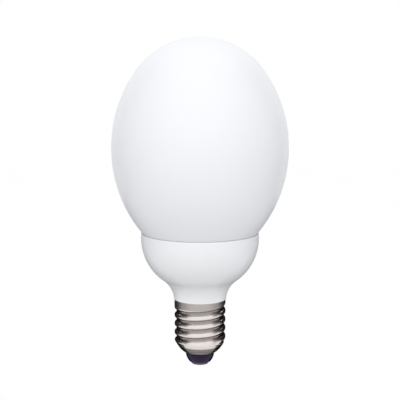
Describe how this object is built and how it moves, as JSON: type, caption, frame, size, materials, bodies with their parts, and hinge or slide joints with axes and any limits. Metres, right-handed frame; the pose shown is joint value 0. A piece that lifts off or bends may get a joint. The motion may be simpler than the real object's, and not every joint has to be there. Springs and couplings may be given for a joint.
{
  "type": "energy saving bulb",
  "caption": "Compact fluorescent bulb: a white egg-shaped globe on a moulded ballast housing with a small nickel screw cap, its spiral tube and ballast inside.",
  "frame": {"origin": "on the lamp's axis, at the face of the end contact", "axes": "+Z along the lamp's axis from the cap to the globe, as the picture shows it; -Y towards the camera"},
  "size_m": [0.0564, 0.0564, 0.1056],
  "materials": {
    "opal_glass": "glossy opal white",
    "white_plastic": "smooth moulded white",
    "holder_plastic": "moulded white",
    "nickel_plate": "nickel-plated rolled sheet",
    "dark_glass": "fused dark violet glass",
    "contact_brass": "tinned brass",
    "solder": "dull solder",
    "tube_glass": "phosphor-coated, white",
    "cement": "matt cement",
    "board_laminate": "paper laminate",
    "ferrite": "dark ferrite",
    "winding_copper": "enamelled copper",
    "capacitor_sleeve": "dark sleeve",
    "film_resin": "dipped resin",
    "component_black": "moulded epoxy",
    "resistor_lacquer": "lacquered",
    "diac_glass": "tinted glass",
    "tinned_wire": "tinned copper wire",
    "wire_sleeve": "insulated wire"
  },
  "bodies": {
    "root": {"globe": "opal_glass", "globe_cement": "cement", "housing": "white_plastic", "tube_holder": "holder_plastic", "discharge_tube": "tube_glass", "tube_cement": "cement", "screw_shell": "nickel_plate", "insulator": "dark_glass", "centre_contact": "contact_brass", "contact_solder": "solder", "shell_lead_wire": "wire_sleeve", "centre_lead_wire": "wire_sleeve", "circuit_board": "board_laminate", "solder_joints": "solder", "wire_pins": "tinned_wire", "electrode_wires": "tinned_wire", "choke_core": "ferrite", "choke_winding": "winding_copper", "electrolytic_capacitor": "capacitor_sleeve", "resonance_capacitor": "film_resin", "blocking_capacitor": "film_resin", "toroid_core": "ferrite", "toroid_winding": "winding_copper", "transistors": "component_black", "rectifier_diodes": "component_black", "fuse_resistor": "resistor_lacquer", "base_resistor": "resistor_lacquer", "diac": "diac_glass"}
  },
  "joints": []
}
